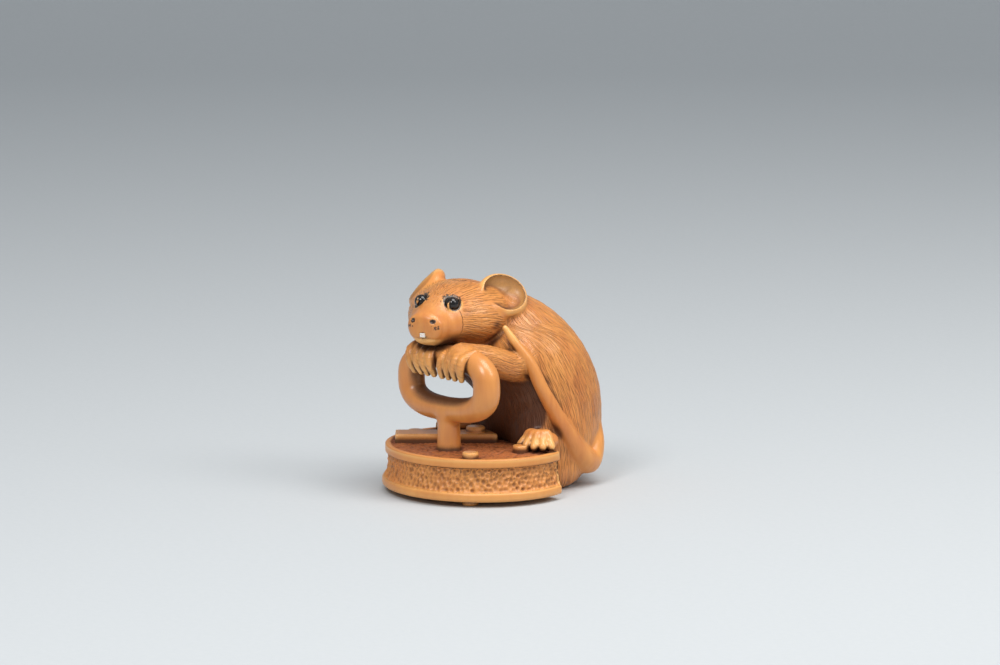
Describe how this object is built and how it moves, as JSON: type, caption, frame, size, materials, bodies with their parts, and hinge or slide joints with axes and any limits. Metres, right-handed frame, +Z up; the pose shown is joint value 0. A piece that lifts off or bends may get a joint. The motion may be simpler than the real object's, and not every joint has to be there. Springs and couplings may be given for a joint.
{
  "type": "netsuke",
  "caption": "Boxwood netsuke of a rat leaning its chin and forepaws on the stirrup handle of a round pitted weight, with inlaid eyes and teeth.",
  "frame": {"origin": "on the ground, on the underside of the middle foot stud, under the middle of the round weight", "axes": "+Z up, -Y the way the rat faces, +X the rat's left side"},
  "size_m": [0.0319, 0.0375, 0.0343],
  "materials": {
    "boxwood": "polished carved boxwood with stained recesses",
    "horn": "polished black horn",
    "bone": "polished bone"
  },
  "bodies": {
    "root": {"boxwood_carving": "boxwood", "left_eye": "horn", "right_eye": "horn", "incisors": "bone"}
  },
  "joints": []
}
